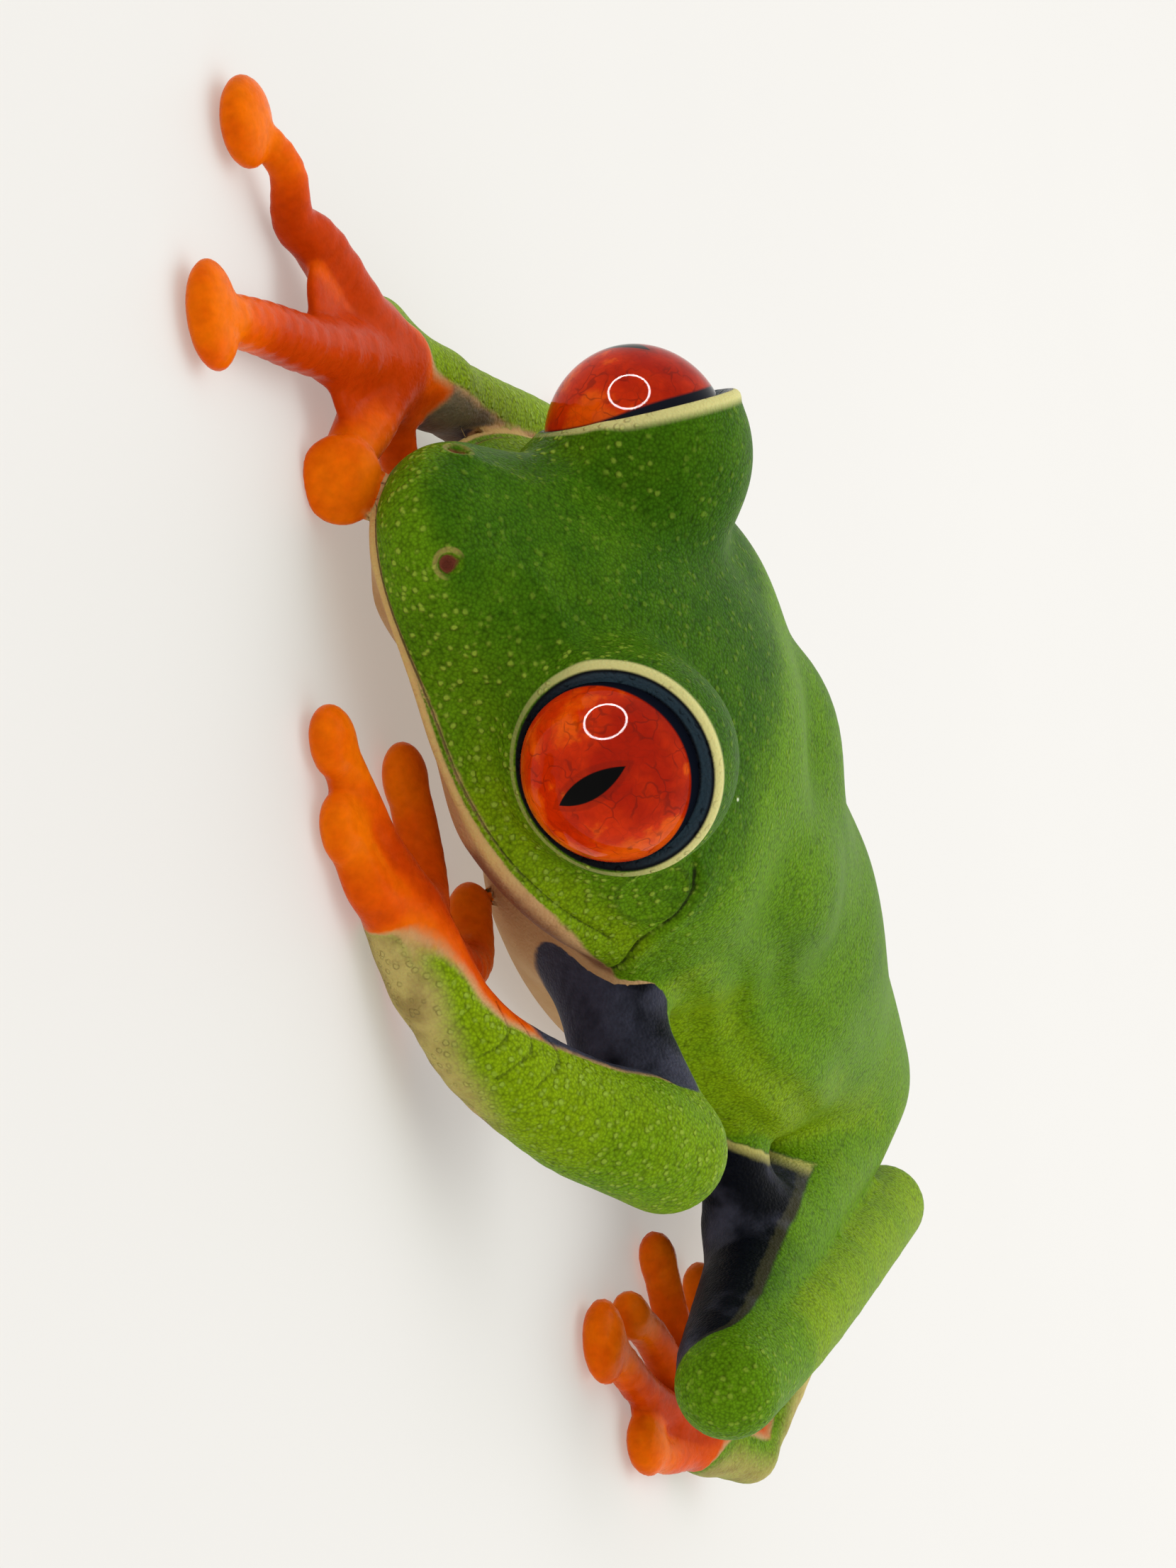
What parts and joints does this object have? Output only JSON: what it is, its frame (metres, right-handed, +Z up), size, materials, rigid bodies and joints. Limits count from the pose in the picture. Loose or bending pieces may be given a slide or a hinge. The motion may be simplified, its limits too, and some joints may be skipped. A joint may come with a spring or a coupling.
{
  "type": "red-eyed tree frog",
  "caption": "Life-size still model of a red-eyed tree frog, crouching on the floor with its right hand reaching forward past the snout.",
  "frame": {"origin": "middle of the box around the frog, at the level of the floor under its hands and feet", "axes": "+Z up, the head points along -Y, the frog's own left side is on +X"},
  "size_m": [0.0458, 0.0688, 0.0134],
  "materials": {
    "green_skin": "moist, finely granular green skin",
    "navy_skin": "smooth dark blue and purple skin of the hidden faces of the limbs",
    "orange_skin": "wet, smooth orange skin of hands and feet",
    "eye": "wet, glossy red iris with a black upright slit pupil"
  },
  "bodies": {
    "root": {"eye_left": "eye", "eye_right": "eye", "finger_1_left": "orange_skin", "finger_1_right": "orange_skin", "finger_2_left": "orange_skin", "finger_2_right": "orange_skin", "finger_3_left": "orange_skin", "finger_3_right": "orange_skin", "finger_4_left": "orange_skin", "finger_4_right": "orange_skin", "foot_left": "orange_skin", "foot_right": "orange_skin", "forearm_left": "green_skin", "forearm_right": "green_skin", "hand_left": "orange_skin", "hand_right": "orange_skin", "head": "green_skin", "shank_left": "green_skin", "shank_right": "green_skin", "tarsus_left": "green_skin", "tarsus_right": "green_skin", "thigh_left": "navy_skin", "thigh_right": "navy_skin", "toe_1_left": "orange_skin", "toe_1_right": "orange_skin", "toe_2_left": "orange_skin", "toe_2_right": "orange_skin", "toe_3_left": "orange_skin", "toe_3_right": "orange_skin", "toe_4_left": "orange_skin", "toe_4_right": "orange_skin", "toe_5_left": "orange_skin", "toe_5_right": "orange_skin", "trunk": "green_skin", "upper_arm_left": "navy_skin", "upper_arm_right": "navy_skin"}
  },
  "joints": []
}
